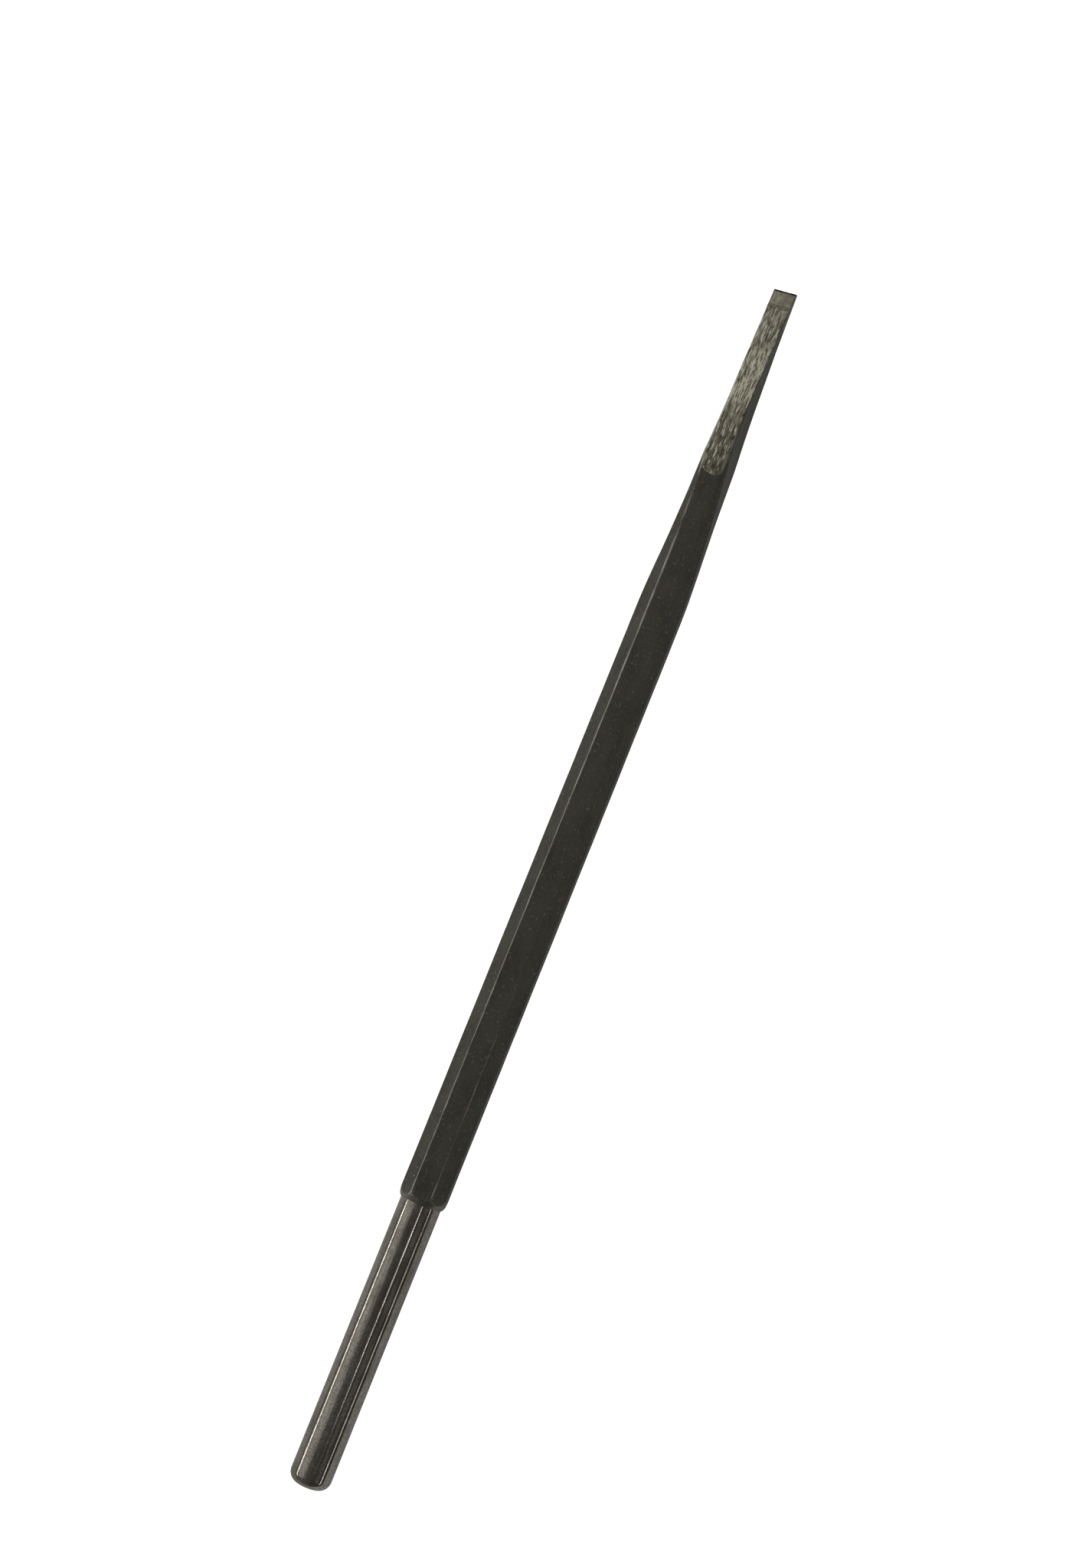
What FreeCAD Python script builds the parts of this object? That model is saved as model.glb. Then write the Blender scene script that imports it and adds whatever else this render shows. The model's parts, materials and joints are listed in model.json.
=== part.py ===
import FreeCAD, Part
import os
import Sketcher

# Chisel for an air hammer: an octagonal steel bar, forged and ground to a narrow flat blade at one end
# and turned to a round shank at the other, with a hard-metal plate brazed into the blade's end.
#
# Frame, in millimetres: the origin is on the tool's axis at the shoulder, where the round shank leaves
# the bar. +X runs along the axis to the cutting edge, +Z is up, out of the flat that faces up when the
# tool lies on the opposite flat, and the cutting edge runs along Y.

DIMENSIONS = {
    # the bar
    "bar_across_flats": 14.0,
    "corner_cut": 3.85,
    "bar_length": 298.0,
    # the shank and its shoulder
    "shank_diameter": 12.5,
    "shank_length": 86.5,
    "struck_end_radius": 3.5,
    "shoulder_foot_radius": 6.6,
    "shoulder_crown_radius": 7.7,
    "shoulder_round_length": 3.2,
    "shoulder_bulge": 0.2,
    # the blade seen from above: distances are measured back from the cutting edge
    "blade_length": 104.0,
    "neck_reach": 48.0,
    "edge_width": 7.5,
    "waist_width": 7.3,
    # the blade seen from the side
    "edge_land": 1.0,
    "grind_angle": 5.6,
    # the hard-metal plate and the braze around it
    "plate_thickness": 2.0,
    "plate_length": 12.0,
    "braze_gap": 0.1,
    # how far cutting outlines reach past the steel
    "clear_of_steel": 4.0,
}


def make_sheet(doc):
    """The spreadsheet of driving dimensions, one aliased cell for each."""
    sheet = doc.addObject("Spreadsheet::Sheet", "dims")
    for row, (alias, size) in enumerate(DIMENSIONS.items(), start=1):
        sheet.set(f"A{row}", alias)
        sheet.set(f"B{row}", str(size))
        sheet.setAlias(f"B{row}", alias)
    doc.recompute()
    return sheet


doc = FreeCAD.newDocument("air_chisel")
sheet = make_sheet(doc)


def size_of(formula):
    """The number that a formula over the sheet's cells has now."""
    return float(sheet.evalExpression(formula))


# Formulas used in more than one outline
TIP = "dims.bar_length"
HALF_BAR = "dims.bar_across_flats / 2"
HALF_FLAT = "(dims.bar_across_flats / 2 - dims.corner_cut)"
OUTSIDE = "(dims.bar_across_flats / 2 + dims.clear_of_steel)"
PAST_TIP = "(dims.bar_length + dims.clear_of_steel)"
HALF_SLOT = "(dims.plate_thickness / 2 + dims.braze_gap)"
SLOT_FLOOR = "(dims.bar_length - dims.plate_length - dims.braze_gap)"
PLATE_BACK = "(dims.bar_length - dims.plate_length)"
GRIND_START = f"({TIP} - (dims.bar_across_flats - dims.edge_land) / 2 / tan(dims.grind_angle))"


def origin_plane(body, role):
    """One of a body's own origin planes or axes, found by its role."""
    return next(item for item in body.Origin.OriginFeatures if item.Role == role)


def new_body(label):
    """An empty body whose label names the node."""
    body = doc.addObject("PartDesign::Body", label)
    body.Label = label
    body.Placement = FreeCAD.Placement()
    return body


def new_sketch(body, name, plane):
    """A sketch on one of the body's own origin planes."""
    sketch = body.newObject("Sketcher::SketchObject", name)
    sketch.AttachmentSupport = (origin_plane(body, plane), [""])
    sketch.MapMode = "FlatFace"
    return sketch


def pin_point(sketch, geometry, end, at):
    """Ties a point of the sketch to its place, given as two formulas over the sheet."""
    for axis, formula in zip(("DistanceX", "DistanceY"), at):
        row = sketch.addConstraint(
            Sketcher.Constraint(axis, -1, 1, geometry, end, size_of(formula))
        )
        sketch.setExpression(f"Constraints[{row}]", formula)


def draw_outline(sketch, corners, arcs=None):
    """A closed outline through the corners, each a pair of formulas.

    arcs gives, for the number of the side that starts at that corner, the point that the side bows
    through. The other sides are straight.
    """
    arcs = arcs or {}
    places = [FreeCAD.Vector(size_of(x), size_of(y), 0) for x, y in corners]
    sides = []
    for number, start in enumerate(places):
        finish = places[(number + 1) % len(places)]
        if number in arcs:
            middle = FreeCAD.Vector(*(size_of(formula) for formula in arcs[number]), 0)
            side = sketch.addGeometry(Part.Arc(start, middle, finish), False)
            marker = sketch.addGeometry(Part.Point(middle), True)
            pin_point(sketch, marker, 1, arcs[number])
            sketch.addConstraint(Sketcher.Constraint("PointOnObject", marker, 1, side))
        else:
            side = sketch.addGeometry(Part.LineSegment(start, finish), False)
        sides.append(side)
    for number, side in enumerate(sides):
        start_end = end_near(sketch, side, places[number])
        previous = sides[number - 1]
        previous_end = end_near(sketch, previous, places[number])
        sketch.addConstraint(
            Sketcher.Constraint("Coincident", previous, previous_end, side, start_end)
        )
        pin_point(sketch, side, start_end, corners[number])


def end_near(sketch, side, place):
    """1 or 2: which end of a side lies at a place. An arc may run either way round."""
    start = sketch.getPoint(side, 1)
    return 1 if (start - place).Length < 1e-6 else 2


def pad(body, name, sketch, length, both_ways=False, backwards=False):
    """Raises a sketch into solid by a length, or half of it each way."""
    feature = body.newObject("PartDesign::Pad", name)
    feature.Profile = sketch
    feature.setExpression("Length", length)
    feature.SideType = "Symmetric" if both_ways else "One side"
    feature.Reversed = backwards
    return feature


def cut_through(body, name, sketch):
    """Cuts a sketch's area away across the whole bar, half to each side of its plane."""
    doc.recompute()
    before = body.Shape.Volume
    feature = body.newObject("PartDesign::Pocket", name)
    feature.Profile = sketch
    feature.setExpression("Length", f"2 * {OUTSIDE}")
    feature.SideType = "Symmetric"
    doc.recompute()
    if body.Shape.Volume >= before:
        raise RuntimeError(f"{name} cuts nothing")
    return feature


def shape_blade(body):
    """Gives a body the blade's two tapered sides and two ground faces.

    The steel, the plate and the braze are ground together, so all three get these same two cuts.
    """
    plan = new_sketch(body, body.Label + "_plan", "XY_Plane")
    for sign in ("", "-"):
        draw_outline(
            plan,
            [
                (PAST_TIP, f"{sign}dims.edge_width / 2"),
                (TIP, f"{sign}dims.edge_width / 2"),
                (f"{TIP} - dims.neck_reach", f"{sign}dims.edge_width / 2"),
                (f"{TIP} - dims.blade_length", f"{sign}{HALF_BAR}"),
                (f"{TIP} - dims.blade_length", f"{sign}{OUTSIDE}"),
                (PAST_TIP, f"{sign}{OUTSIDE}"),
            ],
            arcs={1: (f"{TIP} - dims.neck_reach / 2", f"{sign}dims.waist_width / 2")},
        )
    cut_through(body, body.Label + "_sides", plan)

    side = new_sketch(body, body.Label + "_wedge", "XZ_Plane")
    for sign in ("", "-"):
        draw_outline(
            side,
            [
                (PAST_TIP, f"{sign}dims.edge_land / 2"),
                (TIP, f"{sign}dims.edge_land / 2"),
                (GRIND_START, f"{sign}{HALF_BAR}"),
                (GRIND_START, f"{sign}{OUTSIDE}"),
                (PAST_TIP, f"{sign}{OUTSIDE}"),
            ],
        )
    cut_through(body, body.Label + "_ground_faces", side)


def make_chisel_body():
    """The steel: octagonal bar, round shank, rounded shoulder, blade and the slot for the plate."""
    body = new_body("chisel_body")

    section = new_sketch(body, "bar_section", "YZ_Plane")
    draw_outline(
        section,
        [
            (HALF_FLAT, HALF_BAR),
            (f"-{HALF_FLAT}", HALF_BAR),
            (f"-{HALF_BAR}", HALF_FLAT),
            (f"-{HALF_BAR}", f"-{HALF_FLAT}"),
            (f"-{HALF_FLAT}", f"-{HALF_BAR}"),
            (HALF_FLAT, f"-{HALF_BAR}"),
            (HALF_BAR, f"-{HALF_FLAT}"),
            (HALF_BAR, HALF_FLAT),
        ],
    )
    pad(body, "octagonal_bar", section, TIP)

    # The bar's end is turned round: its profile bulges from the shoulder's foot out to the bar's corners.
    middle_radius = "(dims.shoulder_foot_radius + dims.shoulder_crown_radius) / 2 + dims.shoulder_bulge"
    nose = new_sketch(body, "shoulder_profile", "XZ_Plane")
    draw_outline(
        nose,
        [
            ("0", "dims.shoulder_foot_radius"),
            ("dims.shoulder_round_length", "dims.shoulder_crown_radius"),
            ("dims.shoulder_round_length", OUTSIDE),
            ("0", OUTSIDE),
        ],
        arcs={0: ("dims.shoulder_round_length / 2", middle_radius)},
    )
    groove = body.newObject("PartDesign::Groove", "shoulder_round")
    groove.Profile = nose
    groove.ReferenceAxis = (origin_plane(body, "X_Axis"), [""])
    groove.Angle = 360

    circle = new_sketch(body, "shank_section", "YZ_Plane")
    round_outline = Part.Circle(FreeCAD.Vector(), FreeCAD.Vector(0, 0, 1), size_of("dims.shank_diameter / 2"))
    circle.addGeometry(round_outline)
    circle.addConstraint(Sketcher.Constraint("Coincident", 0, 3, -1, 1))
    row = circle.addConstraint(Sketcher.Constraint("Diameter", 0, size_of("dims.shank_diameter")))
    circle.setExpression(f"Constraints[{row}]", "dims.shank_diameter")
    shank = pad(body, "round_shank", circle, "dims.shank_length", backwards=True)
    doc.recompute()

    struck_end = -size_of("dims.shank_length")
    rim = next(
        number
        for number, edge in enumerate(shank.Shape.Edges, start=1)
        if abs(edge.BoundBox.XMin - struck_end) < 1e-6 and edge.BoundBox.XLength < 1e-6
    )
    fillet = body.newObject("PartDesign::Fillet", "struck_end_round")
    fillet.Base = (shank, [f"Edge{rim}"])
    fillet.setExpression("Radius", "dims.struck_end_radius")

    shape_blade(body)

    slot = new_sketch(body, "slot_profile", "XZ_Plane")
    draw_outline(
        slot,
        [
            (SLOT_FLOOR, HALF_SLOT),
            (PAST_TIP, HALF_SLOT),
            (PAST_TIP, f"-{HALF_SLOT}"),
            (SLOT_FLOOR, f"-{HALF_SLOT}"),
        ],
    )
    cut_through(body, "plate_slot", slot)
    return body


def make_carbide_tip():
    """The hard-metal plate, ground to the blade's own planes so that it is flush all round."""
    body = new_body("carbide_tip")
    half = "dims.plate_thickness / 2"
    profile = new_sketch(body, "plate_profile", "XZ_Plane")
    draw_outline(
        profile,
        [(PLATE_BACK, half), (TIP, half), (TIP, f"-{half}"), (PLATE_BACK, f"-{half}")],
    )
    pad(body, "plate_blank", profile, "dims.bar_across_flats", both_ways=True)
    shape_blade(body)
    return body


def make_braze_joint():
    """The braze: a thin lining of the slot's two cheeks and floor."""
    body = new_body("braze_joint")
    half = "dims.plate_thickness / 2"
    profile = new_sketch(body, "braze_profile", "XZ_Plane")
    draw_outline(
        profile,
        [
            (SLOT_FLOOR, HALF_SLOT),
            (TIP, HALF_SLOT),
            (TIP, half),
            (PLATE_BACK, half),
            (PLATE_BACK, f"-{half}"),
            (TIP, f"-{half}"),
            (TIP, f"-{HALF_SLOT}"),
            (SLOT_FLOOR, f"-{HALF_SLOT}"),
        ],
    )
    pad(body, "braze_lining", profile, "dims.bar_across_flats", both_ways=True)
    shape_blade(body)
    return body


def check_and_write(bodies):
    """Stops if any object failed or any shape is null or invalid, then writes one STEP file a node."""
    doc.recompute()
    for item in doc.Objects:
        if {"Invalid", "Error"} & set(item.State):
            raise RuntimeError(f"{item.Label} failed: {item.State}")
    os.makedirs("parts", exist_ok=True)
    for body in bodies:
        if body.Shape.isNull() or not body.Shape.isValid():
            raise RuntimeError(f"{body.Label} has no valid shape")
        body.Shape.exportStep(f"parts/{body.Label}.step")
        box = body.Shape.BoundBox
        print(
            f"{body.Label}: {len(body.Shape.Solids)} solid, {body.Shape.Volume:.1f} mm3, "
            f"x {box.XMin:.2f} to {box.XMax:.2f}, y {box.YMin:.2f} to {box.YMax:.2f}, "
            f"z {box.ZMin:.2f} to {box.ZMax:.2f}"
        )


check_and_write([make_chisel_body(), make_carbide_tip(), make_braze_joint()])
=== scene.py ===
"""The looks of a long chisel for an air hammer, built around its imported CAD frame.

The tool is one forged steel bar. An octagonal bar runs forward into a narrow blade with two coarse ground
faces, and back over a rounded shoulder into a round driving shank. A hard-metal plate is brazed into a
slot in the blade's end. The frame's origin is on the axis at the shoulder, +X runs to the cutting edge and
+Z is up. Shapes are worked out here in millimetres, and turned into metres when a mesh is made.
"""

from __future__ import annotations

import json
import logging
import math
from dataclasses import dataclass, field
from enum import Enum

import bpy
import numpy as np
from mathutils import Matrix, Vector

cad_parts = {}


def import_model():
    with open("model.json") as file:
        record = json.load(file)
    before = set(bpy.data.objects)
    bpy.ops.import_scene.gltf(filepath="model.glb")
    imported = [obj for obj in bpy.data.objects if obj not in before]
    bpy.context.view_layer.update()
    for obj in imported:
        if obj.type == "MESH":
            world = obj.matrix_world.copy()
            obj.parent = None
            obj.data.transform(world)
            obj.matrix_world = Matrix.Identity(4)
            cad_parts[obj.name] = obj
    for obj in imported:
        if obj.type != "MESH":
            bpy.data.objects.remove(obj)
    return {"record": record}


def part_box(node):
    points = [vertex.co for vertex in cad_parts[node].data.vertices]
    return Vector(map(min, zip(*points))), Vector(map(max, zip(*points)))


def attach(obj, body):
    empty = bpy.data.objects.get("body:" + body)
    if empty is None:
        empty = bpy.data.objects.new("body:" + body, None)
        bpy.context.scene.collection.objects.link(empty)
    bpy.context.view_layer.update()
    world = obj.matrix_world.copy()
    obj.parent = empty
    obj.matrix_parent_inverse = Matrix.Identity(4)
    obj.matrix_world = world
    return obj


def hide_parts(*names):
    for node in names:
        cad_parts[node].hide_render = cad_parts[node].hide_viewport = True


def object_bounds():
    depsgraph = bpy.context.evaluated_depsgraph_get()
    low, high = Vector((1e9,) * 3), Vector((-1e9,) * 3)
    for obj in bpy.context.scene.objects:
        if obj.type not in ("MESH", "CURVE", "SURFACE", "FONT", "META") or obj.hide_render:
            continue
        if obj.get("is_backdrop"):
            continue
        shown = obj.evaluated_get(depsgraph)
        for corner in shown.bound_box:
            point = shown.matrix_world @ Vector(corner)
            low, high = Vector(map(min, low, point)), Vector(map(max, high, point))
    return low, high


Array = np.ndarray
Colour = tuple[float, float, float, float]
Span = tuple[float, float]
MM = 0.001
LOG = logging.getLogger("air_chisel")


# --- Curves and meshes ---


def soft_ramp(distance: Array, softness: float) -> Array:
    """A ramp that is 0 before 0 and the distance after it, with a rounded bend.

    The formula is softness times the natural log of one plus e to the distance over softness.

    Args:
        distance: where along the ramp, in mm.
        softness: how long the bend is, in mm.

    Returns:
        The ramp's height, in mm.
    """
    return softness * np.logaddexp(0.0, distance / softness)


def soft_min(first: Array, second: Array, softness: float) -> Array:
    """The smaller of two values, with the crease between them rounded.

    Args:
        first: one surface's value.
        second: the other surface's value.
        softness: how far from the crease the rounding reaches.

    Returns:
        The rounded minimum, which is never above either value.
    """
    return -softness * np.logaddexp(-first / softness, -second / softness)


def smooth_step(value: Array, start: float, end: float) -> Array:
    """0 before start, 1 after end and the cubic 3t^2 - 2t^3 between them.

    With start above end it is a falling step: 0 above start and 1 below end.

    Args:
        value: the values to map.
        start: where the step begins.
        end: where the step ends.

    Returns:
        The step, from 0 to 1.
    """
    share = np.clip((value - start) / (end - start), 0.0, 1.0)
    return share * share * (3.0 - 2.0 * share)


@dataclass(frozen=True)
class Undulation:
    """A gentle, repeatable unevenness: many plane waves with seeded directions and phases, added up.

    The waves lie on the surface's length and its angle around the axis. Each has a whole number of turns
    around the axis, so that the surface closes on itself.
    """

    seed: int
    longest: float
    shortest: float
    waves: int = 28
    turns: int = 6

    def at(self, along: Array, angle: Array) -> Array:
        """The unevenness at places on the surface.

        Args:
            along: distance along the axis, in mm.
            angle: angle around the axis, in radians.

        Returns:
            Values that stay between 0 and 1 and average about a half.
        """
        draw = np.random.default_rng(self.seed)
        lengths = draw.uniform(self.shortest, self.longest, self.waves)
        turns = draw.integers(-self.turns, self.turns + 1, self.waves)
        phases = draw.uniform(0.0, math.tau, self.waves)
        total = np.zeros(np.broadcast(along, angle).shape)
        for length, turn, phase in zip(lengths, turns, phases):
            total += np.sin(math.tau * along / length + turn * angle + phase)
        return 0.5 + 0.5 * np.tanh(total / math.sqrt(self.waves))


def closed_tube(points: Array) -> tuple[Array, Array]:
    """Vertices and faces of a closed skin: rings of points joined in rows, with both ends fanned to a pole.

    Args:
        points: rings by points around each ring by 3, in mm. The rings run along +X, and each ring runs
            from +Y towards +Z.

    Returns:
        The vertices in mm, and the faces as rows of four vertex numbers, where a triangle repeats its last.
    """
    rings, around = points.shape[:2]
    number = np.arange(rings * around).reshape(rings, around)
    following = np.roll(number, -1, axis=1)
    walls = np.stack([number[:-1], following[:-1], following[1:], number[1:]], axis=-1).reshape(-1, 4)
    back_pole, front_pole = rings * around, rings * around + 1
    back = np.full((around, 4), back_pole)
    back[:, 0], back[:, 1] = following[0], number[0]
    front = np.full((around, 4), front_pole)
    front[:, 0], front[:, 1] = number[-1], following[-1]
    vertices = np.vstack([points.reshape(-1, 3), points[0].mean(axis=0), points[-1].mean(axis=0)])
    return vertices, np.vstack([walls, back, front])


def make_piece(name: str, vertices: Array, faces: Array) -> bpy.types.Object:
    """An object at the origin with its place in its mesh.

    Args:
        name: the piece's name.
        vertices: the points, in mm.
        faces: rows of four vertex numbers, where a triangle repeats its last.

    Returns:
        The new object, linked to the scene and shaded smooth.
    """
    triangles = faces[:, 2] == faces[:, 3]
    corners = np.where(triangles, 3, 4)
    starts = np.concatenate([[0], np.cumsum(corners)[:-1]])
    keep = np.ones(faces.shape, bool)
    keep[triangles, 3] = False
    loops = faces[keep]
    mesh = bpy.data.meshes.new(name)
    mesh.vertices.add(len(vertices))
    mesh.vertices.foreach_set("co", (vertices * MM).astype(np.float32).ravel())
    mesh.loops.add(len(loops))
    mesh.loops.foreach_set("vertex_index", loops.astype(np.int32))
    mesh.polygons.add(len(faces))
    mesh.polygons.foreach_set("loop_start", starts.astype(np.int32))
    mesh.polygons.foreach_set("use_smooth", np.ones(len(faces), bool))
    mesh.update(calc_edges=True)
    mesh.validate()
    piece = bpy.data.objects.new(name, mesh)
    bpy.context.scene.collection.objects.link(piece)
    return piece


def make_block(
    name: str, along: Span, half_width: float, top: float, bottom: float
) -> bpy.types.Object:
    """A plain block whose sides are as far to the left of the axis as to the right.

    Args:
        name: the block's name.
        along: where it starts and ends along the axis, in mm.
        half_width: how far it reaches to each side, in mm.
        top: its upper face's height, in mm.
        bottom: its lower face's height, in mm.

    Returns:
        The new object.
    """
    y = half_width * np.array([1.0, -1.0, -1.0, 1.0])
    z = np.array([top, top, bottom, bottom])
    ends = [np.stack([np.full(4, x), y, z], axis=-1) for x in along]
    return make_piece(name, *closed_tube(np.stack(ends)))


def points_of(piece: bpy.types.Object) -> Array:
    """The piece's vertices, as rows of x, y and z in mm."""
    flat = np.empty(len(piece.data.vertices) * 3, np.float32)
    piece.data.vertices.foreach_get("co", flat)
    return flat.reshape(-1, 3).astype(float) / MM


def move_points(piece: bpy.types.Object, points: Array) -> None:
    """Puts the piece's vertices at new places, given in mm."""
    piece.data.vertices.foreach_set("co", (points * MM).astype(np.float32).ravel())
    piece.data.update()


def mark_points(piece: bpy.types.Object, name: str, values: Array) -> None:
    """Stores one number for each vertex under a name that a material reads."""
    attribute = piece.data.attributes.new(name, "FLOAT", "POINT")
    attribute.data.foreach_set("value", values.astype(np.float32))


# --- The blade and bar, as one gauge that every piece is ground to ---


@dataclass(frozen=True)
class Gauge:
    """The tool's nominal form in mm, the same as the CAD frame's: every piece is cut to it."""

    tip: float
    struck_end: float
    half_bar: float
    half_edge: float
    shank_radius: float
    half_flat: float = 3.15
    half_waist: float = 3.65
    neck: float = 48.0
    taper_end: float = 104.0
    half_land: float = 0.5
    grind_slope: float = math.tan(math.radians(5.6))
    neck_bend: float = 2.5
    taper_bend: float = 0.12

    @property
    def uncut(self) -> float:
        """A lathe radius so far out that it cuts nothing."""
        return 4.0 * self.half_bar

    @classmethod
    def from_frame(cls, record: dict) -> Gauge:
        """Reads the sizes that the frame holds.

        Args:
            record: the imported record.

        Returns:
            The gauge.
        """
        low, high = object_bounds()
        plate_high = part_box("carbide_tip")[1]
        shank = next(mount for mount in record["mounts"] if mount["name"] == "shank")
        return cls(
            tip=high.x / MM,
            struck_end=low.x / MM,
            half_bar=high.z / MM,
            half_edge=plate_high.y / MM,
            shank_radius=shank["dims"]["r_mm"],
        )

    def half_width(self, reach: Array) -> Array:
        """Half the blade's width: a shallow waist, then a straight flare out to the full bar.

        The waist is a parabola from the edge's width in to the waist's and out again at the neck. Past the
        neck the width rises evenly, with a soft bend at both ends of the flare.

        Args:
            reach: distance back from the cutting edge, in mm.

        Returns:
            Half widths in mm.
        """
        from_waist = np.clip(reach / (self.neck / 2) - 1.0, -1.0, 1.0)
        waist = self.half_waist + (self.half_edge - self.half_waist) * from_waist**2
        flare = (self.half_bar - self.half_edge) / (self.taper_end - self.neck)
        widening = flare * soft_ramp(reach - self.neck, self.neck_bend)
        return soft_min(waist + widening, np.full_like(reach, self.half_bar), self.taper_bend)

    def half_wedge(self, reach: Array) -> Array:
        """The two grinding planes' distance from the tool's flat mid plane: the land plus an even slope."""
        return self.half_land + self.grind_slope * reach


@dataclass(frozen=True)
class ForgingSet:
    """What the hammer left in the blade: it is turned a little about the axis, and leans to one side."""

    turn_degrees: float = -10.2
    turned_at: float = 40.0
    turn_from: float = 88.0
    lean: float = 0.85
    lean_from: float = 100.0

    def apply(self, points: Array, tip: float) -> Array:
        """Turns and shifts the points by shares that grow smoothly towards the edge.

        Args:
            points: rows of x, y and z in mm.
            tip: the cutting edge's x, in mm.

        Returns:
            The moved points.
        """
        angle = np.radians(self.turn_degrees) * smooth_step(
            points[:, 0], tip - self.turn_from, tip - self.turned_at
        )
        lean = self.lean * smooth_step(points[:, 0], tip - self.lean_from, tip)
        y = points[:, 1] * np.cos(angle) - points[:, 2] * np.sin(angle)
        z = points[:, 1] * np.sin(angle) + points[:, 2] * np.cos(angle)
        return np.column_stack([points[:, 0], y + lean, z])


@dataclass(frozen=True)
class EightSided:
    """Rings of an eight-sided section with rounded arrises, made as whole arrays.

    Side number i has its normal at i times 45 degrees from +Y towards +Z. An arris's arc is centred where
    its two sides, moved in by the arc's radius, cross.
    """

    arc_points: int = 5
    flat_points: int = 13

    def rings(self, x: Array, half_y: Array, half_z: Array, corner: Array, radius: Array) -> Array:
        """The rings' points.

        Args:
            x: each ring's place along the axis, in mm.
            half_y: distance of the two upright sides from the axis.
            half_z: distance of the top and bottom sides from the axis.
            corner: distance of the four slanted sides from the axis.
            radius: the arrises' radii, rings by 8.

        Returns:
            Rings by points around by 3, in mm.
        """
        angle = np.arange(9) * math.pi / 4
        offset = np.stack([half_y, corner, half_z, corner] * 2, axis=1)
        near = offset - radius
        far = np.roll(offset, -1, axis=1) - radius
        scale = math.sin(math.pi / 4)
        centre_y = (near * np.sin(angle[1:]) - far * np.sin(angle[:-1])) / scale
        centre_z = (far * np.cos(angle[:-1]) - near * np.cos(angle[1:])) / scale
        sweep = angle[:-1, None] + np.linspace(0.0, math.pi / 4, self.arc_points)
        arc_y = centre_y[:, :, None] + radius[:, :, None] * np.cos(sweep)
        arc_z = centre_z[:, :, None] + radius[:, :, None] * np.sin(sweep)
        share = np.arange(1, self.flat_points + 1) / (self.flat_points + 1)
        next_y, next_z = np.roll(arc_y[:, :, :1], -1, axis=1), np.roll(arc_z[:, :, :1], -1, axis=1)
        flat_y = arc_y[:, :, -1:] * (1 - share) + next_y * share
        flat_z = arc_z[:, :, -1:] * (1 - share) + next_z * share
        y = np.concatenate([arc_y, flat_y], axis=2).reshape(len(x), -1)
        z = np.concatenate([arc_z, flat_z], axis=2).reshape(len(x), -1)
        return np.stack([np.broadcast_to(x[:, None], y.shape), y, z], axis=-1)


# --- Shader node groups shared by the finishes ---

Socket = bpy.types.NodeSocket


def linear(red: int, green: int, blue: int) -> Colour:
    """A colour for a shader from its 0 to 255 display values.

    Args:
        red: display red.
        green: display green.
        blue: display blue.

    Returns:
        Linear red, green, blue and a full alpha.
    """
    shares = (value / 255.0 for value in (red, green, blue))
    curve = [s / 12.92 if s <= 0.04045 else ((s + 0.055) / 1.055) ** 2.4 for s in shares]
    return (*curve, 1.0)


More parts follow.
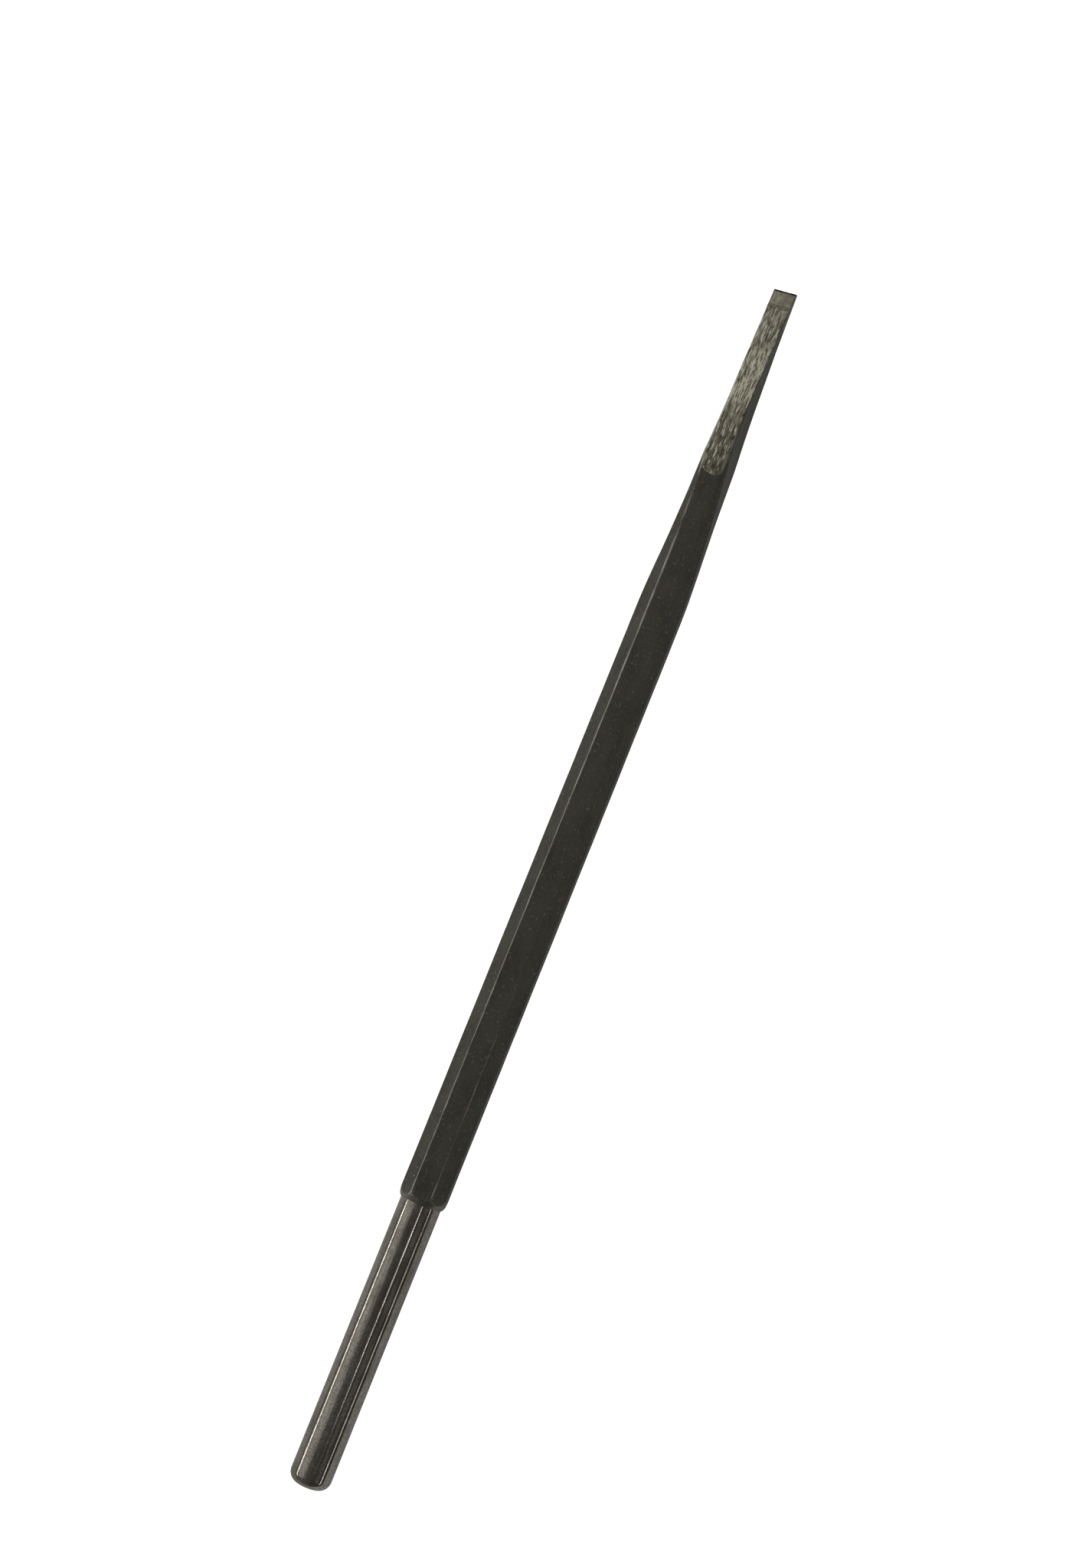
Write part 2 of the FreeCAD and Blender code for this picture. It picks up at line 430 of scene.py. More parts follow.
class NodeBench:
    """Adds nodes to one tree and links them."""

    def __init__(self, tree: bpy.types.NodeTree) -> None:
        """Keeps the tree to work on."""
        self.tree = tree

    def add(self, kind: str, **settings: object) -> bpy.types.Node:
        """A new node with some of its properties set."""
        node = self.tree.nodes.new(kind)
        for name, value in settings.items():
            setattr(node, name, value)
        return node

    def feed(self, socket: Socket, value: object) -> None:
        """Links a socket to a socket, or sets it to a plain value."""
        if isinstance(value, bpy.types.NodeSocket):
            self.tree.links.new(value, socket)
        else:
            socket.default_value = value

    def math(self, operation: str, *values: object) -> Socket:
        """The output of a Math node."""
        node = self.add("ShaderNodeMath", operation=operation)
        for socket, value in zip(node.inputs, values):
            self.feed(socket, value)
        return node.outputs[0]

    def mix(self, kind: str, *values: object) -> Socket:
        """The output of a Mix node that is fed a share and the two values to mix."""
        node = self.add("ShaderNodeMix", data_type=kind)
        for name, value in zip(("Factor", "A", "B"), values):
            self.feed(next(s for s in node.inputs if s.name == name and s.enabled), value)
        return next(s for s in node.outputs if s.enabled)

    def blend(self, share: object, first: object, second: object) -> Socket:
        """A number between two numbers."""
        return self.mix("FLOAT", share, first, second)

    def tint(self, share: object, first: object, second: object) -> Socket:
        """A colour between two colours."""
        return self.mix("RGBA", share, first, second)

    def total(self, start: object, *terms: tuple[object, float]) -> Socket:
        """The start plus each term's value times its factor."""
        for value, factor in terms:
            start = self.math("MULTIPLY_ADD", value, factor, start)
        return start

    def stain(self, base: object, *layers: tuple[object, float, object]) -> Socket:
        """The base colour with each layer's colour over it, as far as its mask times its share says."""
        for mask, share, colour in layers:
            base = self.tint(self.math("MULTIPLY", mask, share), base, colour)
        return base

    def step(self, value: object, low: object, high: object) -> Socket:
        """0 below low, 1 above high and smooth between them."""
        node = self.add("ShaderNodeMapRange", interpolation_type="SMOOTHSTEP")
        for name, given in zip(("Value", "From Min", "From Max"), (value, low, high)):
            self.feed(node.inputs[name], given)
        return node.outputs["Result"]

    def noise(self, vector: Socket, size: object, detail: float, seed: object) -> Socket:
        """Noise whose blotches are about as large as size, in mm. Its mean is a half."""
        node = self.add("ShaderNodeTexNoise", noise_dimensions="4D")
        self.feed(node.inputs["Vector"], vector)
        self.feed(node.inputs["Scale"], self.math("DIVIDE", 1.0 / MM, size))
        self.feed(node.inputs["W"], seed)
        node.inputs["Detail"].default_value = detail
        return node.outputs["Fac"]

    def parts(self, vector: object) -> tuple[Socket, ...]:
        """The x, y and z of a vector."""
        split = self.add("ShaderNodeSeparateXYZ")
        self.feed(split.inputs[0], vector)
        return tuple(split.outputs)

    def stretched(self, vector: object, along: object) -> Socket:
        """Coordinates squeezed along X, so that a pattern read from them is drawn out along the tool."""
        x, y, z = self.parts(vector)
        join = self.add("ShaderNodeCombineXYZ")
        for socket, value in zip(join.inputs, (self.math("DIVIDE", x, along), y, z)):
            self.feed(socket, value)
        return join.outputs[0]


class Texture(Enum):
    """The node groups that the finishes share."""

    STREAKS = "lengthwise_streaks"
    MOTTLING = "mottling"
    GRIT = "grit"
    WORN_LIT_EDGE = "worn_lit_edge"


def start_group(
    kind: Texture, inputs: dict[str, tuple[str, float | None]], outputs: tuple[str, ...]
) -> tuple[NodeBench, bpy.types.Node, bpy.types.Node]:
    """An empty node group with its sockets.

    Args:
        kind: which group.
        inputs: socket name to its type and, for a number, its usual value.
        outputs: names of the numbers it puts out.

    Returns:
        A bench on the group's tree, its input node and its output node.
    """
    tree = bpy.data.node_groups.new(kind.value, "ShaderNodeTree")
    for name, (socket_type, usual) in inputs.items():
        socket = tree.interface.new_socket(name, in_out="INPUT", socket_type=socket_type)
        if usual is not None:
            socket.default_value = usual
    for name in outputs:
        tree.interface.new_socket(name, in_out="OUTPUT", socket_type="NodeSocketFloat")
    bench = NodeBench(tree)
    return bench, bench.add("NodeGroupInput"), bench.add("NodeGroupOutput")


def make_streaks_group() -> None:
    """Streaks along the tool: two noises drawn out along X, a broad one and a fine one."""
    bench, given, put = start_group(
        Texture.STREAKS,
        {
            "Vector": ("NodeSocketVector", None),
            "Width": ("NodeSocketFloat", 0.8),
            "Length": ("NodeSocketFloat", 12.0),
            "Fine Share": ("NodeSocketFloat", 0.4),
            "Seed": ("NodeSocketFloat", 0.0),
        },
        ("Streak",),
    )
    drawn = bench.stretched(given.outputs["Vector"], given.outputs["Length"])
    broad = bench.noise(drawn, given.outputs["Width"], 2.0, given.outputs["Seed"])
    fine_width = bench.math("MULTIPLY", given.outputs["Width"], 0.28)
    fine = bench.noise(drawn, fine_width, 2.0, bench.math("ADD", given.outputs["Seed"], 3.7))
    mixed = bench.blend(given.outputs["Fine Share"], broad, fine)
    bench.feed(put.inputs["Streak"], bench.step(mixed, 0.36, 0.64))


def make_mottling_group() -> None:
    """Soft patches: a noise cut at a level, where Cover 0 gives none and 1 covers everything."""
    bench, given, put = start_group(
        Texture.MOTTLING,
        {
            "Vector": ("NodeSocketVector", None),
            "Size": ("NodeSocketFloat", 4.0),
            "Cover": ("NodeSocketFloat", 0.5),
            "Softness": ("NodeSocketFloat", 0.12),
            "Seed": ("NodeSocketFloat", 0.0),
        },
        ("Patch",),
    )
    cloud = bench.noise(given.outputs["Vector"], given.outputs["Size"], 4.0, given.outputs["Seed"])
    level = bench.math("MULTIPLY_ADD", given.outputs["Cover"], -0.5, 0.75)
    low = bench.math("SUBTRACT", level, given.outputs["Softness"])
    high = bench.math("ADD", level, given.outputs["Softness"])
    bench.feed(put.inputs["Patch"], bench.step(cloud, low, high))


def make_grit_group() -> None:
    """Grit: fine grains, and scattered pits that are the cores of a cell pattern."""
    bench, given, put = start_group(
        Texture.GRIT,
        {
            "Vector": ("NodeSocketVector", None),
            "Size": ("NodeSocketFloat", 0.5),
            "Pitting": ("NodeSocketFloat", 0.3),
            "Seed": ("NodeSocketFloat", 0.0),
        },
        ("Grain", "Pit"),
    )
    grain = bench.noise(given.outputs["Vector"], given.outputs["Size"], 3.0, given.outputs["Seed"])
    cells = bench.add("ShaderNodeTexVoronoi", voronoi_dimensions="4D")
    bench.feed(cells.inputs["Vector"], given.outputs["Vector"])
    spread = bench.math("MULTIPLY", given.outputs["Size"], 3.0)
    bench.feed(cells.inputs["Scale"], bench.math("DIVIDE", 1.0 / MM, spread))
    bench.feed(cells.inputs["W"], given.outputs["Seed"])
    edge = bench.math("MULTIPLY", given.outputs["Pitting"], 0.9)
    core = bench.math("SUBTRACT", 1.0, bench.step(cells.outputs["Distance"], 0.0, edge))
    bench.feed(put.inputs["Grain"], grain)
    bench.feed(put.inputs["Pit"], core)


def make_worn_lit_edge_group() -> None:
    """A mask for the arrises' wear and painted highlight: high where the edge distance is small, broken up by
    noise along the edge.
    """
    bench, given, put = start_group(
        Texture.WORN_LIT_EDGE,
        {
            "Vector": ("NodeSocketVector", None),
            "Edge Distance": ("NodeSocketFloat", 1.0),
            "Width": ("NodeSocketFloat", 0.3),
            "Patchiness": ("NodeSocketFloat", 0.5),
            "Seed": ("NodeSocketFloat", 0.0),
        },
        ("Wear",),
    )
    drawn = bench.stretched(given.outputs["Vector"], 4.0)
    ragged = bench.step(bench.noise(drawn, 1.4, 3.0, given.outputs["Seed"]), 0.34, 0.66)
    kept = bench.blend(given.outputs["Patchiness"], 1.0, ragged)
    reach = bench.math("MULTIPLY", given.outputs["Width"], kept)
    far = bench.step(given.outputs["Edge Distance"], 0.0, bench.math("ADD", reach, 0.001))
    bench.feed(put.inputs["Wear"], bench.math("MULTIPLY", bench.math("SUBTRACT", 1.0, far), kept))


def make_texture_groups() -> None:
    """Builds every shared node group once."""
    for make in (make_streaks_group, make_mottling_group, make_grit_group, make_worn_lit_edge_group):
        make()


def place(bench: NodeBench, kind: Texture, vector: Socket, **values: object) -> bpy.types.Node:
    """A shared group in a material.

    Args:
        bench: the bench on the material's tree.
        kind: which group.
        vector: the object coordinates.
        values: the group's other inputs, with spaces written as underscores.

    Returns:
        The group's node.
    """
    node = bench.add("ShaderNodeGroup")
    node.node_tree = bpy.data.node_groups[kind.value]
    bench.feed(node.inputs["Vector"], vector)
    for name, value in values.items():
        bench.feed(node.inputs[name.replace("_", " ").title()], value)
    return node


# --- Finishes ---


@dataclass
class Coat:
    """What one finish gives to the shader: its colour, roughness, metal share and relief in mm."""

    colour: Socket
    roughness: Socket
    metal: object
    relief: Socket


def lay_over(bench: NodeBench, share: Socket, under: Coat, over: Coat) -> Coat:
    """One coat over another, where share is the part of the surface that the upper one covers.

    Args:
        bench: the bench on the material's tree.
        share: 0 where the lower coat shows and 1 where the upper one does.
        under: the lower coat.
        over: the upper coat.

    Returns:
        The mixed coat.
    """
    return Coat(
        bench.tint(share, under.colour, over.colour),
        bench.blend(share, under.roughness, over.roughness),
        bench.blend(share, under.metal, over.metal),
        bench.blend(share, under.relief, over.relief),
    )


@dataclass(frozen=True)
class ForgeScale:
    """The bar's dark skin of forge scale: mottled warm greys with small rusty patches."""

    dark: Colour = linear(64, 61, 55)
    mid: Colour = linear(108, 104, 95)
    moss: Colour = linear(90, 91, 76)
    rust: Colour = linear(118, 92, 68)
    bared: Colour = linear(156, 151, 138)
    metal: float = 0.3

    def coat(self, bench: NodeBench, vector: Socket) -> Coat:
        """The scale's coat.

        Args:
            bench: the bench on the material's tree.
            vector: the object coordinates.

        Returns:
            The coat.
        """
        drawn = bench.stretched(vector, 2.2)
        broad = place(bench, Texture.MOTTLING, drawn, size=5.0, softness=0.2, seed=1.0)
        small = place(bench, Texture.MOTTLING, drawn, size=1.3, softness=0.16, seed=5.0)
        rusty = place(bench, Texture.MOTTLING, drawn, size=2.6, cover=0.16, softness=0.07, seed=9.0)
        grit = place(bench, Texture.GRIT, vector, size=0.5, pitting=0.26, seed=2.0)
        patch, rust = small.outputs["Patch"], rusty.outputs["Patch"]
        speck = bench.step(grit.outputs["Grain"], 0.3, 0.7)
        cloud = bench.blend(0.55, broad.outputs["Patch"], speck)
        glint = bench.step(bench.noise(vector, 0.8, 2.0, 33.0), 0.61, 0.7)
        base = bench.tint(cloud, self.dark, self.mid)
        base = bench.stain(base, (patch, 0.7, self.moss), (rust, 0.35, self.rust), (glint, 0.55, self.bared))
        grain = bench.math("SUBTRACT", grit.outputs["Grain"], 0.5)
        rough = bench.total(0.49, (grain, 0.5), (rust, 0.15))
        relief = bench.total(0.0, (grain, 0.07), (patch, 0.012), (grit.outputs["Pit"], -0.02))
        return Coat(base, rough, self.metal, relief)


@dataclass(frozen=True)
class GroundSteel:
    """Bare steel from a coarse wheel: bright and dark streaks along the blade, brightest part-way along."""

    brightest_x: float = 0.266
    bright_reach: float = 0.017
    fading: float = 0.28
    fade_share: float = 0.42
    smut_share: float = 0.4
    streak_length: float = 13.0
    scratch_width: float = 0.38
    dull: Colour = linear(98, 93, 78)
    dark: Colour = linear(120, 115, 98)
    bright: Colour = linear(251, 247, 224)
    scratch: Colour = linear(255, 252, 234)
    width: float = 0.42
    depth: float = 0.045

    def coat(self, bench: NodeBench, vector: Socket) -> Coat:
        """The ground face's coat.

        Args:
            bench: the bench on the material's tree.
            vector: the object coordinates.

        Returns:
            The coat.
        """
        length = self.streak_length
        streaks = place(
            bench, Texture.STREAKS, vector, width=self.width, length=length, fine_share=0.4, seed=4.0
        )
        smut = place(bench, Texture.MOTTLING, vector, size=2.4, cover=0.26, softness=0.14, seed=12.0)
        x = bench.parts(vector)[0]
        away = bench.math("ABSOLUTE", bench.math("SUBTRACT", x, self.brightest_x))
        faded = bench.step(away, 0.2 * self.bright_reach, self.bright_reach)
        kept = bench.step(x, self.brightest_x - self.bright_reach, self.brightest_x)
        smutted = (smut.outputs["Patch"], self.smut_share)
        dulling = bench.total(self.fading, (kept, -self.fading), (faded, self.fade_share), smutted)
        streak = bench.step(streaks.outputs["Streak"], 0.05, 0.9)
        drawn = bench.stretched(vector, self.streak_length)
        scratch = bench.step(bench.noise(drawn, self.scratch_width, 1.0, 27.0), 0.56, 0.66)
        base = bench.tint(dulling, bench.tint(streak, self.dark, self.bright), self.dull)
        base = bench.stain(base, (scratch, 0.85, self.scratch))
        rough = bench.total(0.56, (streak, -0.1))
        relief = bench.total(0.0, (streak, self.depth), (scratch, -0.02))
        return Coat(base, rough, 1.0, relief)


@dataclass(frozen=True)
class TurnedSteel:
    """The shank: turned and polished, then handled: fine lengthwise rub marks, faint rings, brown bloom."""

    clean: Colour = linear(162, 158, 149)
    rubbed: Colour = linear(196, 192, 183)
    bloom: Colour = linear(112, 105, 91)
    ring_pitch: float = 0.32 * MM

    def coat(self, bench: NodeBench, vector: Socket) -> Coat:
        """The shank's coat.

        Args:
            bench: the bench on the material's tree.
            vector: the object coordinates.

        Returns:
            The coat.
        """
        rubs = place(bench, Texture.STREAKS, vector, width=0.55, length=26.0, fine_share=0.5, seed=7.0)
        drawn = bench.stretched(vector, 3.0)
        bloom = place(bench, Texture.MOTTLING, drawn, size=3.4, cover=0.4, softness=0.18, seed=3.0)
        grit = place(bench, Texture.GRIT, vector, size=0.4, pitting=0.22, seed=6.0)
        streak, patch, pit = rubs.outputs["Streak"], bloom.outputs["Patch"], grit.outputs["Pit"]
        speckle = bench.step(bench.noise(vector, 0.55, 3.0, 29.0), 0.44, 0.6)
        base = bench.tint(streak, self.clean, self.rubbed)
        for mask, share in ((patch, 0.6), (pit, 0.5), (speckle, 0.45)):
            base = bench.stain(base, (mask, share, self.bloom))
        rough = bench.total(0.07, (streak, 0.03), (speckle, 0.03), (patch, 0.03))
        x = bench.parts(vector)[0]
        rings = bench.math("SINE", bench.math("MULTIPLY", x, math.tau / self.ring_pitch))
        grain = grit.outputs["Grain"]
        relief = bench.total(0.0, (rings, 0.0004), (streak, 0.001), (grain, 0.002), (pit, -0.004))
        return Coat(base, rough, 1.0, relief)


@dataclass(frozen=True)
class ArrisWearAndHighlight:
    """Bright steel on the arrises: partly where handling has rubbed through the scale, partly a painted
    highlight on the arrises that face the lights.
    """

    steel: Colour = linear(236, 232, 221)
    dulled: Colour = linear(172, 167, 155)

    def coat(self, bench: NodeBench, vector: Socket) -> Coat:
        """The coat of the bright arris steel, part rubbed wear and part painted highlight."""
        streaks = place(bench, Texture.STREAKS, vector, width=0.3, length=14.0, fine_share=0.4, seed=15.0)
        streak = streaks.outputs["Streak"]
        base = bench.stain(self.steel, (streak, 0.5, self.dulled))
        rough = bench.total(0.32, (streak, 0.1))
        return Coat(base, rough, 0.85, bench.math("MULTIPLY", streak, 0.004))


def start_material(name: str) -> tuple[bpy.types.Material, NodeBench, Socket]:
    """A material with only a Principled shader and its output.

    Args:
        name: the material's name.

    Returns:
        The material, a bench on its tree and the object coordinates.
    """
    material = bpy.data.materials.new(name)
    material.use_nodes = True
    bench = NodeBench(material.node_tree)
    return material, bench, bench.add("ShaderNodeTexCoord").outputs["Object"]


def finish_material(material: bpy.types.Material, bench: NodeBench, coat: Coat) -> None:
    """Feeds a coat into the material's Principled shader. The relief is in mm.

    Args:
        material: the material to finish.
        bench: the bench on its tree.
        coat: what the surface looks like.
    """
    shader = material.node_tree.nodes["Principled BSDF"]
    bench.feed(shader.inputs["Base Color"], coat.colour)
    bench.feed(shader.inputs["Roughness"], coat.roughness)
    bench.feed(shader.inputs["Metallic"], coat.metal)
    bump = bench.add("ShaderNodeBump")
    bump.inputs["Distance"].default_value = MM
    bench.feed(bump.inputs["Height"], coat.relief)
    bench.feed(shader.inputs["Normal"], bump.outputs["Normal"])


def read_mark(bench: NodeBench, name: str) -> Socket:
    """A number stored on the piece's vertices."""
    return bench.add("ShaderNodeAttribute", attribute_name=name).outputs["Fac"]


@dataclass(frozen=True)
class BarFinish:
    """The whole bar's material: scale, with the ground faces and the turned shank cut through it."""

    scale: ForgeScale = ForgeScale()
    ground: GroundSteel = GroundSteel()
    turned: TurnedSteel = TurnedSteel()
    arris: ArrisWearAndHighlight = ArrisWearAndHighlight()

    def material(self) -> bpy.types.Material:
        """The bar's material, which reads the marks ground, turned and arris."""
        material, bench, vector = start_material("forged_bar_steel")
        rag = bench.math("SUBTRACT", bench.noise(vector, 0.8, 3.0, 21.0), 0.5)
        edge = read_mark(bench, "arris")
        arris_wear_and_highlight = place(
            bench, Texture.WORN_LIT_EDGE, vector, edge_distance=edge, width=0.31, patchiness=0.35, seed=8.0
        )
        coat = self.scale.coat(bench, vector)
        ground_at = bench.total(read_mark(bench, "ground"), (rag, 0.5))
        coat = lay_over(bench, bench.step(ground_at, -0.12, 0.12), coat, self.ground.coat(bench, vector))
        # bright steel laid over the arrises: part rubbed wear, part painted highlight along the arrises that
        # face the lights and along the ground faces' rims
        coat = lay_over(bench, arris_wear_and_highlight.outputs["Wear"], coat, self.arris.coat(bench, vector))
        turned_at = bench.total(read_mark(bench, "turned"), (rag, 0.06))
        dull = bench.math("MULTIPLY", bench.step(turned_at, -0.02, 0.03), 0.6)
        share = bench.math("MAXIMUM", dull, bench.step(turned_at, 0.2, 0.6))
        coat = lay_over(bench, share, coat, self.turned.coat(bench, vector))
        finish_material(material, bench, coat)
        return material


@dataclass(frozen=True)
class HardMetalFinish:
    """The plate: sintered hard metal, ground finer than the steel and dull. A near-black painted shade runs
    along its cutting edge and its sides.
    """

    dark: Colour = linear(182, 178, 162)
    light: Colour = linear(220, 216, 200)
    stain: Colour = linear(138, 130, 109)
    painted_edge_shade: Colour = linear(34, 32, 27)

    def material(self) -> bpy.types.Material:
        """The plate's material."""
        material, bench, vector = start_material("ground_hard_metal")
        streaks = place(bench, Texture.STREAKS, vector, width=0.45, length=5.0, fine_share=0.6, seed=14.0)
        stain = place(bench, Texture.MOTTLING, vector, size=1.7, cover=0.5, softness=0.2, seed=17.0)
        streak = streaks.outputs["Streak"]
        base = bench.tint(streak, self.dark, self.light)
        base = bench.stain(base, (stain.outputs["Patch"], 0.7, self.stain))
        # painted shade: a near-black band along the cutting edge and the sides, read from the plate's mark
        base = bench.tint(read_mark(bench, "painted_edge_shade"), base, self.painted_edge_shade)
        relief = bench.math("MULTIPLY", streak, 0.02)
        finish_material(material, bench, Coat(base, bench.total(0.52, (streak, -0.06)), 0.9, relief))
        return material


@dataclass(frozen=True)
class BrazeFinish:
    """The braze: brassy brown, dulled and stained by flux."""

    brass: Colour = linear(178, 170, 150)
    stain: Colour = linear(132, 125, 108)

    def material(self) -> bpy.types.Material:
        """The braze's material."""
        material, bench, vector = start_material("tarnished_braze")
        stain = place(bench, Texture.MOTTLING, vector, size=0.7, cover=0.5, softness=0.2, seed=19.0)
        grit = place(bench, Texture.GRIT, vector, size=0.15, pitting=0.4, seed=20.0)
        base = bench.tint(stain.outputs["Patch"], self.brass, self.stain)
        grain = grit.outputs["Grain"]
        relief = bench.total(0.0, (grit.outputs["Pit"], -0.02), (grain, 0.02))
        finish_material(material, bench, Coat(base, bench.total(0.38, (grain, 0.3)), 0.8, relief))
        return material


# --- The pieces ---


@dataclass
class ForgedBar:
    """The one piece of steel: blade, octagonal bar, shoulder and shank, with the slot for the plate.

    Lengths are in mm. The pairs say where a smooth step starts and ends. forged_over and next_rubbed_lit_over
    are places along the axis, beside_over is in radians around it, and the others are distances back from
    the cutting edge.
    """

    gauge: Gauge
    forging: ForgingSet
    section: EightSided = field(default_factory=EightSided)
    shoulder_foot: float = 6.6
    shoulder_crown: float = 7.7
    shoulder_length: float = 3.2
    shoulder_bulge: float = 0.2
    foot_fillet: float = 0.35
    end_round: float = 3.5
    end_dome: float = 0.06
    ring_gap: float = 1.6
    blade_lead: float = 8.0
    blade_rings: int = 260
    arris_radius: float = 0.42
    # which arrises show bright steel, and how much: part rubbed wear, part painted highlight on the arrises
    # that face the lights
    rubbed_lit_arris: float = math.radians(67.5)
    less_rubbed_less_lit: float = 0.2
    arris_wander: float = 0.45
    ground_break: float = 0.09
    rubbed_break: float = 0.2
    crown_drop: float = 0.12
    waviness: float = 0.06
    keen_over: Span = (72.0, 60.0)
    on_plane: float = 0.02
    mark_limit: float = 2.0
    skin_from: float = 0.4
    swage_thinning: float = 0.15
    swage_lead: float = 10.0
    swage_end: float = 14.0
    rubbed_over: Span = (22.0, 40.0)
    forged_over: Span = (4.0, 12.0)
    beside_over: Span = (0.3, 0.5)
    # painted highlight as well as wear: the next arris, which faces the ceiling tube, towards the shoulder,
    # and wider bright rims along the blade
    next_rubbed_lit: float = 0.7
    next_rubbed_lit_over: Span = (80.0, 30.0)
    blade_rubbed_lit: float = 0.36
    blade_rubbed_lit_over: Span = (170.0, 110.0)
    lathe_from: float = -0.2
    lathe_touch: float = 0.012
    nose_mark: float = 0.1
    cutter_past: float = 2.0

    def shank_profile(self) -> tuple[Array, Array]:
        """The lathe's profile from the struck end to past the shoulder.

        The struck end is a quarter circle, the shank is straight, a small hollow fillet leads to the
        shoulder's foot, and a parabola bulges from there out past the bar's corners.

        Returns:
            Places along the axis and radii, in mm.
        """
        gauge = self.gauge
        turn = np.linspace(0.0, math.pi / 2, 15)
        face = np.linspace(0.15, 1.0, 5)[:-1] * (gauge.shank_radius - self.end_round)
        dome = self.end_dome * (face / face[-1]) ** 2
        round_x = gauge.struck_end + self.end_dome + (self.end_round - self.end_dome) * (1.0 - np.cos(turn))
        round_r = gauge.shank_radius - self.end_round * (1.0 - np.sin(turn))
        shank_x = np.linspace(gauge.struck_end + self.end_round, -self.foot_fillet, 60)[1:-1]
        hollow = np.linspace(0.0, math.pi / 2, 7)
        hollow_x = -self.foot_fillet + self.foot_fillet * np.sin(hollow)
        hollow_r = gauge.shank_radius + self.foot_fillet * (1.0 - np.cos(hollow))
        share = np.linspace(0.0, 1.0, 30)[1:]
        nose_x = self.shoulder_length * share
        rise = self.shoulder_crown - self.shoulder_foot
        nose_r = self.shoulder_foot + rise * share + 4.0 * self.shoulder_bulge * share * (1.0 - share)
        x = np.concatenate([gauge.struck_end + dome, round_x, shank_x, hollow_x, nose_x])
        r = np.concatenate(
            [face, round_r, np.full(len(shank_x), gauge.shank_radius), hollow_r, nose_r]
        )
        return x, r

    def stations(self) -> tuple[Array, Array]:
        """Where the rings are, close together along the blade, and the lathe's radius at each."""
        x, r = self.shank_profile()
        gauge = self.gauge
        blade_start = gauge.tip - gauge.taper_end - self.blade_lead
        bar = np.arange(x[-1] + 0.6, blade_start, self.ring_gap)
        blade = np.linspace(blade_start, gauge.tip, self.blade_rings)
        forward = np.concatenate([bar, blade])
        beyond = np.full(len(forward), gauge.uncut)
        return np.concatenate([x, forward]), np.concatenate([r, beyond])

    def sides(self, x: Array) -> tuple[Array, Array, Array]:
        """Distances of the forged and ground sides from the axis.

        The slanted sides keep the bar's corner cut until the blade is so slim that only a broken edge of
        them is left.

        Args:
            x: places along the axis, in mm.

        Returns:
            Distances of the upright, the top and the slanted sides.
        """
        gauge = self.gauge
        reach = gauge.tip - x
        half_y = gauge.half_width(reach)
        half_z = np.minimum(gauge.half_bar, gauge.half_wedge(reach))
        bar_corner = gauge.half_bar + gauge.half_flat
        corner = np.minimum(bar_corner, half_y + half_z - self.edge_break(reach))
        return half_y, half_z, corner / math.sqrt(2.0)

    def edge_break(self, reach: Array) -> Array:
        """How much is off the blade's ground edges, which are keen at the tip and rubbed farther back."""
        return self.ground_break + self.rubbed_break * smooth_step(reach, *self.rubbed_over)

    def arris_radii(self, x: Array) -> Array:
        """Each arris's radius at each ring, rings by 8: it wanders, and is small on ground edges."""
        wander = Undulation(seed=31, longest=60.0, shortest=7.0)
        arris = np.arange(8) * math.pi / 4
        swing = self.arris_wander * (2.0 * wander.at(x[:, None], arris) - 1.0)
        radius = self.arris_radius * (1.0 + swing)
        reach = (self.gauge.tip - x)[:, None]
        slim = smooth_step(reach, *self.keen_over)
        return radius * (1.0 - slim) + self.edge_break(reach) * slim

    def hammer_loss(self, x: Array, angle: Array) -> Array:
        """How deep the hammer's marks are at places around the bar: flats a little hollow and uneven."""
        broad = Undulation(seed=11, longest=48.0, shortest=14.0)
        small = Undulation(seed=12, longest=9.0, shortest=3.5, turns=14)
        forged = smooth_step(x, *self.forged_over)
        return self.waviness * forged * (0.7 * broad.at(x, angle) + 0.3 * small.at(x, angle))

    def forged_top(self, x: Array, y: Array, loss: Array) -> Array:
        """Height of the top and bottom before grinding: swaged thinner and crowned towards the blade.

        Args:
            x: places along the axis, in mm.
            y: places across, in mm.
            loss: the depth of the hammer's marks there, in mm.

        Returns:
            Heights from the mid plane, in mm.
        """
        gauge = self.gauge
        ease = smooth_step(gauge.tip - x, gauge.taper_end + self.swage_lead, gauge.neck + self.swage_end)
        crown = self.crown_drop * np.clip(np.abs(y) / gauge.half_flat, 0.0, 1.0) ** 3
        return gauge.half_bar - ease * (self.swage_thinning + crown) - loss

    def forge(self, rings: Array) -> Array:
        """Leaves the hammer's marks by moving each side in. The top is only marked where it is not ground.

        Args:
            rings: rings by points around by 3, in mm.

        Returns:
            The rings with their marks, still inside the bar's gauge.
        """
        x, y, z = rings[..., 0], rings[..., 1].copy(), rings[..., 2].copy()
        loss = self.hammer_loss(x, np.arctan2(z, y))
        half_y, _, corner = (side[:, None] for side in self.sides(x[:, 0]))
        top = self.forged_top(x, y, loss)
        for number in range(8):
            angle = number * math.pi / 4
            limit = (half_y - loss, corner - loss, top, corner - loss)[number % 4]
            excess = np.maximum(y * math.cos(angle) + z * math.sin(angle) - limit, 0.0)
            y -= excess * math.cos(angle)
            z -= excess * math.sin(angle)
        return np.stack([x, y, z], axis=-1)

    def turn_down(self, rings: Array, lathe: Array) -> Array:
        """Cuts each ring back to the lathe's radius, with a slightly rounded crease where the cut starts."""
        radius = np.hypot(rings[..., 1], rings[..., 2])
        cut = soft_min(radius, np.broadcast_to(lathe[:, None], radius.shape), 0.03)
        share = np.where(lathe[:, None] >= self.gauge.uncut, 1.0, cut / radius)
        return rings * np.stack([np.ones_like(share), share, share], axis=-1)

